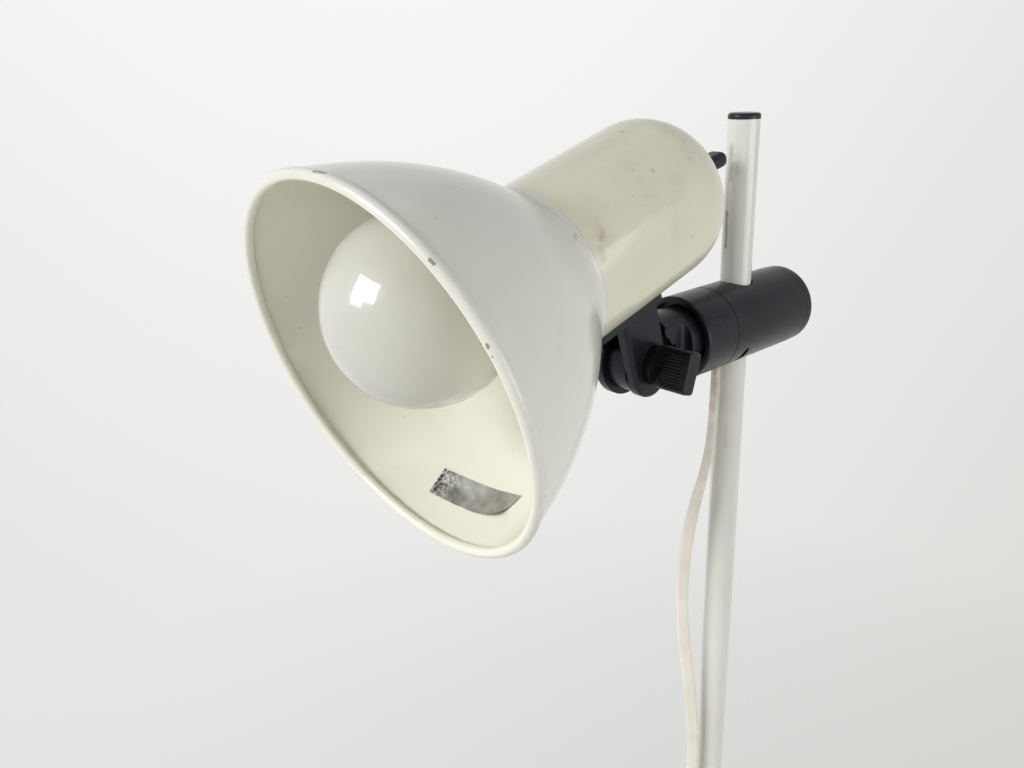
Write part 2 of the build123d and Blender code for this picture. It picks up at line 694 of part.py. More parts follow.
def make_holder():
    line = bulb_place
    bushing = turned(
        polygon((shaft_radius + running_gap, -bush_back), (bush_outer, -bush_back),
                (bush_outer, switch_front), (shaft_radius + running_gap, switch_front)),
        line,
    )
    body = rod(bulb_root + bulb_way * switch_front, bulb_way, switch_body_radius,
               switch_back - switch_front)
    body = fillet(body.edges().filter_by(GeomType.CIRCLE), switch_edge)
    body += bushing
    nut_face = bulb_line_root - housing_length - switch_nut_lift
    nut_shape = RegularPolygon(switch_nut_radius, 6)
    nut = extrude(nut_shape, amount=switch_nut_thickness)
    nut -= extrude(Circle(bush_outer + thread_gap), amount=switch_nut_thickness)
    nut = line * (Pos(0, 0, nut_face - switch_nut_thickness) * nut)

    bore = holder_radius - holder_wall
    floor = switch_back + holder_floor
    holder = turned(
        polygon((0, switch_back), (holder_radius, switch_back), (holder_radius, holder_end),
                (bore, holder_end), (bore, floor), (0, floor)),
        line,
    )
    shell_outer = lamp_shell_bore + lamp_shell_sheet
    lamp_shell = turned(
        polygon((lamp_shell_bore, floor), (shell_outer, floor), (shell_outer, lamp_shell_end),
                (lamp_shell_bore, lamp_shell_end)),
        line,
    )
    contact = rod(bulb_root + bulb_way * floor, bulb_way, contact_radius, contact_thickness)

    shaft_back = switch_knob_start + shaft_reach
    shaft = rod(bulb_root - bulb_way * shaft_back, bulb_way, shaft_radius, shaft_back + switch_front)
    hub = Cylinder(switch_knob_hub, switch_knob_hub_length, align=(Align.CENTER, Align.CENTER, Align.MIN))
    hub = fillet(hub.edges().sort_by(Axis.Z)[-1], knuckle_edge)
    paddle_length = switch_knob_end - switch_knob_start
    paddle = Box(switch_knob_width, switch_knob_thickness, paddle_length,
                 align=(Align.CENTER, Align.CENTER, Align.MIN))
    paddle = fillet(paddle.edges().filter_by(Axis.Z), switch_knob_corner)
    paddle = fillet(paddle.faces().sort_by(Axis.Z)[-1].edges(), switch_knob_round)
    knob = hub + paddle
    knob -= Cylinder(shaft_radius + thread_gap, shaft_reach, align=(Align.CENTER, Align.CENTER, Align.MIN))
    knob_place = Plane(origin=bulb_root - bulb_way * switch_knob_start, x_dir=AXIS_X, z_dir=-bulb_way)
    knob = knob_place * knob
    return {"switch_body": body, "switch_nut": nut, "socket_body": holder, "socket_shell": lamp_shell,
            "centre_contact": contact, "switch_shaft": shaft, "switch_knob": knob}


def bulb_side(inset):
    """Neck arc and round of the bulb at a depth under the glass's outside."""
    neck = bulb_neck_radius - inset
    run = bulb_centre - bulb_neck
    rise = bulb_neck_radius
    waist = (run ** 2 + rise ** 2 - bulb_radius ** 2) / (2 * (bulb_radius - rise))
    centre = (rise + waist, bulb_neck)
    angle = atan2(run, -centre[0])
    join = arc_point((0, bulb_centre), bulb_radius - inset, angle - pi)
    join = (abs(join[0]), join[1])
    turn = atan2(join[1] - centre[1], join[0] - centre[0])
    neck_arc = ThreePointArc((neck, bulb_neck), arc_point(centre, waist + inset, (turn + pi) / 2), join)
    round_start = atan2(join[1] - bulb_centre, join[0])
    round_arc = ThreePointArc(
        join,
        arc_point((0, bulb_centre), bulb_radius - inset, (round_start + pi / 2) / 2),
        (0, bulb_centre + bulb_radius - inset),
    )
    return neck_arc, round_arc


def make_bulb():
    line = bulb_place
    neck_out, round_out = bulb_side(0)
    neck_in, round_in = bulb_side(bulb_wall)
    crown = bulb_centre + bulb_radius
    cap_bore = bulb_cap_radius - bulb_cap_sheet
    tube_end = bulb_neck - bulb_cap_taper
    glass_neck = cap_bore - seat_gap
    glass = turned(
        Polyline((bulb_neck_radius - bulb_wall, bulb_neck), (glass_neck - bulb_wall, tube_end),
                 (glass_neck, tube_end), (glass_neck, bulb_neck), (bulb_neck_radius, bulb_neck))
        + neck_out + round_out + Line((0, crown), (0, crown - bulb_wall)) + round_in + neck_in,
        line,
    )
    shoulder = bulb_cap_start + bulb_cap_taper
    cap = turned(
        polygon((bulb_cap_floor_radius, bulb_cap_start), (bulb_cap_radius, shoulder),
                (bulb_cap_radius, bulb_neck - seat_gap), (cap_bore, bulb_neck - seat_gap),
                (cap_bore, shoulder + bulb_cap_sheet), (bulb_cap_floor_radius, bulb_cap_start + bulb_cap_sheet)),
        line,
    )
    insulator_radius = bulb_cap_floor_radius - seat_gap
    tip_seat = bulb_cap_start - (bulb_cap_start - bulb_tip) / 3
    contact = turned(
        polygon((0, bulb_tip), (bulb_tip_radius / 2, bulb_tip), (bulb_tip_radius, tip_seat),
                (insulator_radius, bulb_cap_start), (insulator_radius, bulb_cap_start + bulb_cap_sheet),
                (0, bulb_cap_start + bulb_cap_sheet)),
        line,
    )
    flare_radius = min(stem_flare, glass_neck - bulb_wall - seat_gap)
    stem = turned(
        polygon((0, tube_end), (flare_radius, tube_end), (stem_radius, tube_end + stem_flare),
                (stem_radius / 2, tube_end + stem_length), (0, tube_end + stem_length)),
        line,
    )
    return {"bulb_glass": glass, "bulb_base": cap, "bulb_contact": contact, "bulb_stem": stem}


def cord_tube(points, name):
    """Round tube along straight runs joined by arcs as large as the runs allow."""
    points = [Vector(p) for p in points]
    radii = []
    for a, b, c in zip(points, points[1:], points[2:]):
        turn = radians((b - a).get_angle(c - b))
        shorter = min((b - a).length, (c - b).length)
        radii.append(0.45 * shorter / tan(turn / 2))
    path = FilletPolyline(*points, radius=radii)
    start = Plane(origin=path @ 0, z_dir=path % 0)
    tube = sweep(start * Circle(cord_radius), path=path)
    section = pi * cord_radius ** 2
    print(name, "length", round(path.length, 1), "least radius", round(min(radii), 1),
          "volume ratio", round(tube.volume / (section * path.length), 4))
    return tube, path.length


def coil_state(turn):
    """Radius and height of the coil's middle line after so many turns."""
    span = coil_layer_turns + 0.5
    layer = min(int(turn // span), coil_layers - 1)
    done = turn - layer * span
    inner_radius = coil_outer_radius - coil_turn_step * coil_layer_turns
    inward = layer % 2 == 0
    travelled = coil_turn_step * min(done, coil_layer_turns)
    radius = coil_outer_radius - travelled if inward else inner_radius + travelled
    climb = max(0, done - coil_layer_turns) / 0.5
    smooth = climb * climb * (3 - 2 * climb)
    return radius, coil_lift + coil_layer_step * (layer + smooth)


def coil_point(turn):
    radius, height = coil_state(turn)
    angle = pi + 2 * pi * turn
    return Vector(coil_centre[0] + radius * cos(angle), coil_centre[1] + radius * sin(angle), height)


def coil_way(turn, total):
    small = 0.02
    before = max(0, turn - small)
    after = min(total, turn + small)
    way = (coil_point(after) - coil_point(before)).normalized()
    if turn <= 0 or turn >= total:
        angle = pi + 2 * pi * turn
        way = Vector(-sin(angle), cos(angle), 0)
    return way


def biarc(start, start_way, end, end_way):
    """Two arcs that leave start and reach end along the given ways."""
    gap = end - start
    ways = start_way + end_way
    spread = 2 * (1 - start_way.dot(end_way))
    across = gap.dot(ways)
    reach = (sqrt(across ** 2 + spread * gap.dot(gap)) - across) / spread
    middle = (start + end + (start_way - end_way) * reach) * 0.5
    middle_way = (end - end_way * reach - start - start_way * reach).normalized()
    return [TangentArc(start, middle, tangent=start_way), TangentArc(middle, end, tangent=middle_way)]


def make_coil():
    total = coil_layers * coil_layer_turns + (coil_layers - 1) * 0.5
    quarters = round(total * 4)
    lead_in = cord_radius + cord_radius
    first, first_way = coil_point(0), coil_way(0, total)
    last, last_way = coil_point(total), coil_way(total, total)
    edges = [Line(first - first_way * lead_in, first)]
    for i in range(quarters):
        a, b = i / 4, (i + 1) / 4
        edges += biarc(coil_point(a), coil_way(a, total), coil_point(b), coil_way(b, total))
    edges.append(Line(last, last + last_way * lead_in))
    path = Wire([edge.edge() for edge in edges])
    start = Plane(origin=first - first_way * lead_in, z_dir=first_way)
    coil = sweep(start * Circle(cord_radius), path=path)
    spots = []
    for edge in edges:
        for j in range(12):
            spots.append(edge @ (j / 12))
    least = None
    reach = [0]
    for a, b in zip(spots, spots[1:]):
        reach.append(reach[-1] + (b - a).length)
    apart = coil_outer_radius
    for i, a in enumerate(spots):
        for j in range(i + 1, len(spots)):
            if reach[j] - reach[i] > apart:
                gap = (spots[j] - a).length
                if least is None or gap < least:
                    least = gap
    section = pi * cord_radius ** 2
    print("coil length", round(path.length, 1), "least gap to itself",
          round(least - cord_radius - cord_radius, 2),
          "volume ratio", round(coil.volume / (section * path.length), 4))
    return coil, first - first_way * lead_in, last + last_way * lead_in, path.length


def flat_cord(start, length):
    """Short straight piece of the two-conductor cord, its width along X, rising from start."""
    offset = (flat_cord_width - flat_cord_thickness) / 2
    shape = Pos(-offset, 0) * Circle(flat_cord_thickness / 2) + Pos(offset, 0) * Circle(flat_cord_thickness / 2)
    shape += Rectangle(offset + offset, flat_cord_thickness * 0.86)
    return Plane(origin=start, x_dir=AXIS_X, z_dir=AXIS_Z) * extrude(shape, amount=length)


def make_cord():
    exit_height = barrel_height - barrel_radius - running_gap
    exit_point = Vector(0, -slot_centre, exit_height)
    stub = flat_cord(exit_point, stub_rise)
    below_exit = exit_point - AXIS_Z * exit_run
    last_drop = Vector(*drop_route[-1])
    drop_end = last_drop + (Vector(*lead_route[0]) - last_drop) * drop_end_share
    drop, drop_length = cord_tube((exit_point, below_exit) + drop_route + (drop_end,), "drop")
    coil, coil_start, coil_end, coil_length = make_coil()
    run_in = coil_start + AXIS_Y * coil_run_in
    lead, lead_length = cord_tube((drop_end,) + lead_route + (run_in, coil_start), "lead")
    plug_height = plug_thickness / 2 + seat_gap
    way = Vector(cos(radians(plug_turn)), sin(radians(plug_turn)), 0)
    tail_end = Vector(plug_start[0], plug_start[1], plug_height)
    run_out = coil_end + AXIS_Y * coil_run_in
    before_plug = tail_end - way * plug_run_in
    tail, tail_length = cord_tube((coil_end, run_out) + tail_route + (before_plug, tail_end), "tail")
    print("whole cord", round(drop_length + lead_length + coil_length + tail_length, 1))

    inner_radius = coil_outer_radius - coil_turn_step * coil_layer_turns
    low = coil_lift - cord_radius - tie_gap
    high = coil_lift + coil_layer_step * (coil_layers - 1) + cord_radius + tie_gap
    near = inner_radius - cord_radius - tie_gap
    far = coil_outer_radius + cord_radius + tie_gap
    hole = Rectangle(far - near, high - low)
    band = Rectangle(far - near + tie_sheet * 2, high - low + tie_sheet * 2)
    hole = fillet(hole.vertices(), cord_radius)
    band = fillet(band.vertices(), cord_radius + tie_sheet)
    tie_middle = Vector(coil_centre[0], coil_centre[1] + (near + far) / 2, (low + high) / 2)
    tie_place = Plane(origin=tie_middle, x_dir=AXIS_Y, z_dir=AXIS_X)
    tie = tie_place * extrude(band - hole, amount=tie_width / 2, both=True)

    plug_place = Plane(origin=tail_end, x_dir=way.cross(AXIS_Z), z_dir=way)
    body = Box(plug_width, plug_thickness, plug_length, align=(Align.CENTER, Align.CENTER, Align.MIN))
    body = fillet(body.edges().filter_by(Axis.Z), plug_corner)
    body = Pos(0, 0, plug_tail_length) * body
    strain = Cone(cord_radius + cord_radius / 4, plug_tail_radius, plug_tail_length + overrun,
                  align=(Align.CENTER, Align.CENTER, Align.MIN))
    body = body + strain
    blades = []
    face = plug_tail_length + plug_length
    for side in (-1, 1):
        blade = Box(blade_thickness, blade_width, blade_length, align=(Align.CENTER, Align.CENTER, Align.MIN))
        blade = chamfer(blade.faces().sort_by(Axis.Z)[-1].edges().filter_by(Axis.Y), blade_edge)
        blades.append((plug_place * (Pos(side * blade_spacing / 2, 0, face) * blade)).solid())
    return {"cord_stub": stub, "cord_drop": drop, "cord_lead": lead, "cord_coil": coil,
            "cord_tail": tail, "coil_tie": tie, "plug_body": plug_place * body,
            "plug_blades": Compound(children=blades)}


pieces = {}
for make in (make_base, make_pole, make_clamp, make_knuckle, make_bracket, make_wing, make_shell,
             make_holder, make_bulb, make_cord):
    pieces.update(make())
for name, piece in pieces.items():
    export_step(piece, "parts/" + name + ".step")
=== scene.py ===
from math import cos, pi, radians, sin

import bpy
from mathutils import Matrix, Vector
from mathutils.bvhtree import BVHTree


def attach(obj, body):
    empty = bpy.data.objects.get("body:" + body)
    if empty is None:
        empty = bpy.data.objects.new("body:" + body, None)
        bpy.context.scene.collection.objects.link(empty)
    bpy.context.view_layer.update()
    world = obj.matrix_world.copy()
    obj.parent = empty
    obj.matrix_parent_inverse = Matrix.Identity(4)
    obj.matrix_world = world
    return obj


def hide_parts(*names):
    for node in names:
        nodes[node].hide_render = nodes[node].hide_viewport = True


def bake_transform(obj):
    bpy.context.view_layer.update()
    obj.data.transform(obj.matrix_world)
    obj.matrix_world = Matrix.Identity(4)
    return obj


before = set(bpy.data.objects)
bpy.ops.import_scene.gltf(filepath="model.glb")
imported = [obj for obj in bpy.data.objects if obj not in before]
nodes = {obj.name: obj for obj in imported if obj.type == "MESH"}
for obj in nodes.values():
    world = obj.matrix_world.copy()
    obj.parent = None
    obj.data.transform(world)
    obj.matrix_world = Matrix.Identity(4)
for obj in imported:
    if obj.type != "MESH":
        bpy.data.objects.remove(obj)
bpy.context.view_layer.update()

# Places from the part's source, in metres: the hinge, the bell's axis and the middle of its mouth
HINGE = Vector((0, -0.0633, 0.3735))
DROOP = radians(16.93)
BACK = Vector((0, cos(DROOP), sin(DROOP)))
UP = Vector((0, -sin(DROOP), cos(DROOP)))
AXIS_ABOVE_HINGE, MOUTH_BEFORE_HINGE = 0.0555, 0.1043
MOUTH = HINGE + UP * AXIS_ABOVE_HINGE - BACK * MOUTH_BEFORE_HINGE

# Sockets of the Mix node when it mixes colours
MIX_FACTOR, MIX_A, MIX_B, MIX_RESULT = 0, 6, 7, 2
# Grain of a mark's edge over its radius, and how far the edge strays as a share of the radius
MARK_GRAIN, MARK_RAGGED = 1.4, 0.8
# Scales of the enamel's noises, in cycles per metre, and how strongly dirt shows and dulls
DRIFT, DIRT, DIRT_PATCHES, SPECKS, SPECK_PATCHES, WAVES = 16, 70, 11, 520, 60, 55
DIRT_SHOWS, DIRT_DULLS = 0.45, 0.12
SPECK_TONE = (0.16, 0.13, 0.09)
# Dust on the black mouldings, and how strongly it shows and dulls
DUST_TONE, DUST_SHOWS, DUST_DULLS = (0.30, 0.29, 0.27), 0.10, 0.2
# Scale of a speckled material's relief over that of its colour
RELIEF_FINER = 12


def add_object(name, data):
    obj = bpy.data.objects.new(name, data)
    bpy.context.scene.collection.objects.link(obj)
    return obj


class Shader:
    """A procedural material around one Principled BSDF, or the nodes of a world."""

    def __init__(self, name, roughness=0.5, metallic=0.0, world=None, **sockets):
        if world:
            world.use_nodes = True
            self.tree = world.node_tree
            self.tree.nodes.clear()
            self.out = self.add("ShaderNodeOutputWorld")
            self.place = self.add("ShaderNodeTexCoord")
            return
        self.mat = bpy.data.materials.new(name)
        self.mat.use_nodes = True
        self.tree = self.mat.node_tree
        self.tree.nodes.clear()
        self.out = self.add("ShaderNodeOutputMaterial")
        self.bsdf = self.add("ShaderNodeBsdfPrincipled")
        self.link(self.bsdf, "BSDF", self.out, "Surface")
        self.bsdf.inputs["Roughness"].default_value = roughness
        self.bsdf.inputs["Metallic"].default_value = metallic
        for key, value in sockets.items():
            self.bsdf.inputs[key.replace("_", " ")].default_value = value
        self.place = self.add("ShaderNodeTexCoord")

    def add(self, kind, **props):
        node = self.tree.nodes.new(kind)
        for key, value in props.items():
            setattr(node, key, value)
        return node

    def link(self, a, a_name, b, b_name):
        self.tree.links.new(a.outputs[a_name], b.inputs[b_name])

    def feed(self, socket, value):
        """Links another node's output to the socket, or sets the socket to a plain value."""
        if isinstance(value, bpy.types.NodeSocket):
            self.tree.links.new(value, socket)
        elif socket.type == "RGBA":
            socket.default_value = (*value, 1)
        else:
            socket.default_value = value

    def noise(self, scale, detail=3.0, rough=0.55, where=None):
        node = self.add("ShaderNodeTexNoise")
        node.inputs["Scale"].default_value = scale
        node.inputs["Detail"].default_value = detail
        node.inputs["Roughness"].default_value = rough
        self.feed(node.inputs["Vector"], where or self.place.outputs["Object"])
        return node.outputs["Fac"]

    def ramp(self, value, *stops):
        node = self.add("ShaderNodeValToRGB")
        self.feed(node.inputs["Fac"], value)
        while len(node.color_ramp.elements) < len(stops):
            node.color_ramp.elements.new(0.5)
        for element, (at, colour) in zip(node.color_ramp.elements, stops):
            element.position = at
            element.color = (*colour, 1)
        return node.outputs["Color"]

    def split(self, vector, axis):
        node = self.add("ShaderNodeSeparateXYZ")
        self.feed(node.inputs[0], vector)
        return node.outputs[axis]

    def math(self, operation, a, b, clamp=False):
        node = self.add("ShaderNodeMath", operation=operation, use_clamp=clamp)
        self.feed(node.inputs[0], a)
        self.feed(node.inputs[1], b)
        return node.outputs["Value"]

    def span(self, value, low, high, to_low=0.0, to_high=1.0):
        """Maps the value's range from low to high onto another range, and clamps it there."""
        node = self.add("ShaderNodeMapRange")
        node.clamp = True
        node.inputs["From Min"].default_value = low
        node.inputs["From Max"].default_value = high
        node.inputs["To Min"].default_value = to_low
        node.inputs["To Max"].default_value = to_high
        self.feed(node.inputs["Value"], value)
        return node.outputs["Result"]

    def mix(self, factor, a, b):
        node = self.add("ShaderNodeMix", data_type="RGBA")
        for index, value in ((MIX_FACTOR, factor), (MIX_A, a), (MIX_B, b)):
            self.feed(node.inputs[index], value)
        return node.outputs[MIX_RESULT]

    def vector(self, operation, a, b=None):
        node = self.add("ShaderNodeVectorMath", operation=operation)
        self.feed(node.inputs[0], a)
        if b is not None:
            self.feed(node.inputs[1], b)
        return node.outputs["Value" if operation in ("DOT_PRODUCT", "LENGTH") else "Vector"]

    def scaled(self, vector, factor):
        node = self.add("ShaderNodeVectorMath", operation="SCALE")
        self.feed(node.inputs[0], vector)
        self.feed(node.inputs["Scale"], factor)
        return node.outputs["Vector"]

    def mark(self, start, end, radius, soft):
        """Mask of a ragged mark of this radius along the line between two places in the part's frame."""
        start, run = Vector(start), Vector(end) - Vector(start)
        here = self.vector("SUBTRACT", self.place.outputs["Object"], start)
        if run.length > 0:
            along = self.math("DIVIDE", self.vector("DOT_PRODUCT", here, run), run.length_squared, clamp=True)
            here = self.vector("SUBTRACT", here, self.scaled(run, along))
        away = self.vector("LENGTH", here)
        edge = self.math("MULTIPLY", self.noise(MARK_GRAIN / radius, 3.0), radius * MARK_RAGGED * 2)
        outer = radius * (1 + MARK_RAGGED)
        return self.span(self.math("ADD", away, edge), outer, outer - radius * soft)

    def colour(self, value):
        self.feed(self.bsdf.inputs["Base Color"], value)

    def roughness(self, value):
        self.feed(self.bsdf.inputs["Roughness"], value)

    def backdrop_rays(self):
        """1 for the rays that see the studio itself, 0 for those that light it."""
        path = self.add("ShaderNodeLightPath")
        seen = self.math("MAXIMUM", path.outputs["Is Camera Ray"], path.outputs["Is Glossy Ray"])
        return self.math("MAXIMUM", seen, path.outputs["Is Transmission Ray"])

    def bump(self, value, strength, distance):
        node = self.add("ShaderNodeBump")
        node.inputs["Strength"].default_value = strength
        node.inputs["Distance"].default_value = distance
        self.feed(node.inputs["Height"], value)
        self.link(node, "Normal", self.bsdf, "Normal")


def speckled(name, light, dark, rough, scale, bump=0.1, depth=0.0002, **sockets):
    """Plain material whose colour and gloss drift a little over the surface."""
    s = Shader(name, **sockets)
    field = s.noise(scale)
    s.colour(s.ramp(field, (0.35, dark), (0.65, light)))
    s.roughness(s.span(field, 0.3, 0.7, *rough))
    s.bump(s.noise(scale * RELIEF_FINER, 2.0), bump, depth)
    return s.mat


def enamelled(name, light, dark, grime, rough, specks, marks_and_painted_reflections=(), inner=None, **sockets):
    """Aged gloss enamel: slow drift of its tone, faint grime, specks, and spots at given places: chips, rust,
    stains, scuffs and painted reflections.

    inner is the tone of the faces that look at the bell's axis, a painted bounce light: lighter and yellower
    for the light the bell throws onto its own inside."""
    s = Shader(name, **sockets)
    drift = s.noise(DRIFT, 2.0)
    colour = s.ramp(drift, (0.30, dark), (0.70, light))
    # Painted bounce light: faces that look at the bell's axis take the lighter, yellower inner tone
    if inner:
        radial = s.vector("SUBTRACT", s.place.outputs["Object"], MOUTH)
        radial = s.vector("SUBTRACT", radial, s.scaled(BACK, s.vector("DOT_PRODUCT", radial, BACK)))
        facing = s.vector("DOT_PRODUCT", s.place.outputs["Normal"], radial)
        colour = s.mix(s.span(facing, -0.004, 0.004), inner, colour)
    dirt = s.math("MULTIPLY", s.span(s.noise(DIRT, 6.0, 0.7), 0.50, 0.85),
                  s.span(s.noise(DIRT_PATCHES, 2.0), 0.42, 0.75))
    colour = s.mix(s.math("MULTIPLY", dirt, DIRT_SHOWS), colour, grime)
    dots = s.span(s.noise(SPECKS, 1.0), 0.75, 0.79)
    dots = s.math("MULTIPLY", dots, s.span(s.noise(SPECK_PATCHES, 1.0), 0.50, 0.62))
    colour = s.mix(s.math("MULTIPLY", dots, specks), colour, SPECK_TONE)
    # Each spot is either a real mark on the paint or a painted reflection
    for start, end, radius, soft, tone, strength in marks_and_painted_reflections:
        colour = s.mix(s.math("MULTIPLY", s.mark(start, end, radius, soft), strength), colour, tone)
    s.colour(colour)
    s.roughness(s.math("ADD", s.span(drift, 0.3, 0.7, *rough), s.math("MULTIPLY", dirt, DIRT_DULLS)))
    s.bump(s.noise(WAVES, 2.0), 0.05, 0.0005)
    return s.mat


def moulded(name, light, dark, rough, grain=900.0, **sockets):
    """Satin black moulding with a fine grain, dull patches and a little dust."""
    s = Shader(name, **sockets)
    patch = s.noise(35, 3.0)
    dust = s.math("MULTIPLY", s.span(s.noise(650, 2.0, 0.7), 0.60, 0.75),
                  s.span(s.noise(50, 2.0), 0.45, 0.75))
    colour = s.ramp(patch, (0.35, dark), (0.65, light))
    s.colour(s.mix(s.math("MULTIPLY", dust, DUST_SHOWS), colour, DUST_TONE))
    s.roughness(s.math("ADD", s.span(patch, 0.35, 0.65, *rough), s.math("MULTIPLY", dust, DUST_DULLS)))
    s.bump(s.noise(grain, 2.0), 0.18, 0.00012)
    return s.mat


# Tones that the photo shows: of chips, rust, stains and scuffs, and of a dark reflection painted on the pole
CHIP, RUST, STAIN = (0.06, 0.055, 0.05), (0.22, 0.13, 0.06), (0.44, 0.33, 0.21)
SCUFF, PAINTED_REFLECTION = (0.30, 0.24, 0.17), (0.22, 0.22, 0.20)
# Each mark: start, end, radius, softness, tone and strength
bell_marks = (
    ((0.0062, -0.1983, 0.4571), (0.0106, -0.1977, 0.4568), 0.0007, 0.7, CHIP, 0.65),
    ((0.0135, -0.1962, 0.4562), (0.0150, -0.1958, 0.4558), 0.0005, 0.4, CHIP, 0.6),
    ((0.0010, -0.1990, 0.4578), (0.0010, -0.1990, 0.4578), 0.0005, 0.4, RUST, 0.6),
    ((0.0453, -0.1934, 0.4391), (0.0462, -0.1930, 0.4382), 0.0006, 0.4, CHIP, 0.7),
    ((0.0581, -0.1881, 0.4200), (0.0583, -0.1880, 0.4194), 0.0006, 0.4, RUST, 0.8),
    ((0.0590, -0.1875, 0.4170), (0.0590, -0.1875, 0.4170), 0.0005, 0.4, RUST, 0.7),
    ((0.0620, -0.1850, 0.4050), (0.0621, -0.1850, 0.4040), 0.0005, 0.4, CHIP, 0.5),
    ((0.0239, -0.1222, 0.4322), (0.0250, -0.1235, 0.4310), 0.0012, 0.8, SCUFF, 0.35),
    ((0.0177, -0.1442, 0.4474), (0.0300, -0.1430, 0.4420), 0.0010, 1.2, STAIN, 0.30),
    ((0.0413, -0.1302, 0.4062), (0.0410, -0.1330, 0.4000), 0.0030, 1.4, STAIN, 0.30),
    ((0.0120, -0.1900, 0.4590), (0.0190, -0.1880, 0.4565), 0.0003, 0.8, SCUFF, 0.30),
    ((0.0090, -0.1850, 0.4600), (0.0150, -0.1835, 0.4580), 0.0003, 0.8, SCUFF, 0.25),
)
housing_marks = (
    ((0.0027, -0.0770, 0.4584), (0.0040, -0.0775, 0.4583), 0.0012, 1.0, STAIN, 0.55),
    ((0.0214, -0.0828, 0.4472), (0.0216, -0.0832, 0.4470), 0.0009, 0.8, RUST, 0.40),
    ((0.0235, -0.0666, 0.4497), (0.0235, -0.0666, 0.4497), 0.0007, 0.8, RUST, 0.45),
    ((0.0239, -0.1130, 0.4340), (0.0262, -0.1120, 0.4300), 0.0052, 1.6, STAIN, 0.42),
    ((0.0252, -0.1120, 0.4318), (0.0262, -0.1135, 0.4300), 0.0016, 0.8, STAIN, 0.60),
    ((0.0277, -0.1152, 0.4270), (0.0285, -0.1150, 0.4250), 0.0022, 1.4, SCUFF, 0.40),
)
pole_marks_and_painted_reflection = (
    ((-0.0020, -0.0060, 0.4350), (-0.0016, -0.0061, 0.4206), 0.0007, 1.2, STAIN, 0.70),
    ((-0.0018, -0.0061, 0.4215), (-0.0015, -0.0062, 0.4075), 0.0010, 0.9, CHIP, 0.75),
    # Painted reflection: the dark mirror image of the black switch knob in the pole's gloss, not a mark on
    # the paint
    ((-0.0010, -0.0062, 0.4470), (-0.0008, -0.0062, 0.4350), 0.0020, 1.6, PAINTED_REFLECTION, 0.75),
    ((0.0010, -0.0062, 0.4330), (0.0012, -0.0062, 0.4300), 0.0005, 0.8, STAIN, 0.35),
    ((0.0030, -0.0055, 0.3300), (0.0030, -0.0055, 0.3200), 0.0012, 1.6, STAIN, 0.30),
)
enamel_head = enamelled(
    "enamel_head", (0.720, 0.698, 0.568), (0.680, 0.655, 0.515), (0.45, 0.37, 0.25), (0.26, 0.32), 0.5,
    housing_marks, Coat_Weight=0.5, Coat_Roughness=0.06)
# The bell's inner tone is painted bounce light
enamel_bell = enamelled(
    "enamel_bell", (0.735, 0.728, 0.672), (0.700, 0.690, 0.625), (0.52, 0.46, 0.35), (0.20, 0.26), 0.4,
    bell_marks, inner=(0.800, 0.782, 0.675), Coat_Weight=0.4, Coat_Roughness=0.06)
enamel_pole = enamelled(
    "enamel_pole", (0.735, 0.730, 0.685), (0.700, 0.690, 0.635), (0.45, 0.40, 0.30), (0.20, 0.26), 0.3,
    pole_marks_and_painted_reflection, Coat_Weight=0.5, Coat_Roughness=0.06)
enamel_base = enamelled(
    "enamel_base", (0.700, 0.685, 0.625), (0.670, 0.650, 0.585), (0.57, 0.54, 0.46), (0.24, 0.32), 0.3,
    Coat_Weight=0.35, Coat_Roughness=0.10)
BLUISH = (0.80, 0.90, 1.0, 1.0)
black = moulded(
    "black_moulding", (0.0115, 0.0118, 0.0160), (0.0075, 0.0078, 0.0108), (0.25, 0.34),
    Specular_IOR_Level=0.36, Specular_Tint=BLUISH)
black_knob = moulded(
    "black_knob", (0.0095, 0.0098, 0.0120), (0.0060, 0.0062, 0.0078), (0.24, 0.33), 1400,
    Specular_IOR_Level=0.36, Specular_Tint=BLUISH)


def bare_metal(name, light, dark, rough, scale):
    return speckled(name, light, dark, rough, scale, depth=0.0001, metallic=1.0)


steel = bare_metal("zinc_steel", (0.60, 0.60, 0.61), (0.46, 0.46, 0.47), (0.25, 0.40), 220)
spring = bare_metal("spring_steel", (0.34, 0.34, 0.35), (0.22, 0.22, 0.23), (0.30, 0.45), 200)
brass = bare_metal("brass", (0.72, 0.55, 0.25), (0.55, 0.40, 0.16), (0.25, 0.40), 160)
nylon = speckled("nylon", (0.76, 0.75, 0.70), (0.68, 0.67, 0.61), (0.40, 0.52), 90)
phenolic = speckled("phenolic", (0.045, 0.028, 0.018), (0.025, 0.015, 0.010), (0.22, 0.32), 70)
iron = speckled(
    "painted_iron", (0.035, 0.035, 0.037), (0.018, 0.018, 0.019), (0.55, 0.75), 150, 0.5, 0.0006)
rubber = speckled(
    "foot_rubber", (0.028, 0.028, 0.027), (0.016, 0.016, 0.016), (0.70, 0.85), 180, 0.4, 0.0004)


def cord_vinyl():
    """Beige vinyl, darker and browner in blotches towards the top of the stretch below the clamp."""
    s = Shader("cord_vinyl")
    tone = s.ramp(s.noise(45), (0.35, (0.76, 0.71, 0.62)), (0.65, (0.83, 0.79, 0.71)))
    height = s.split(s.place.outputs["Object"], "Z")
    # Darker, browner blotches that grow towards the clamp
    darker_below_clamp = s.math("MULTIPLY", s.span(height, 0.29, 0.35), s.span(s.noise(120, 3.0), 0.40, 0.65, 0.35, 0.9))
    s.colour(s.mix(darker_below_clamp, tone, (0.42, 0.34, 0.24)))
    s.roughness(s.span(s.noise(60), 0.3, 0.7, 0.32, 0.45))
    s.bump(s.noise(500, 2.0), 0.05, 0.0001)
    return s.mat


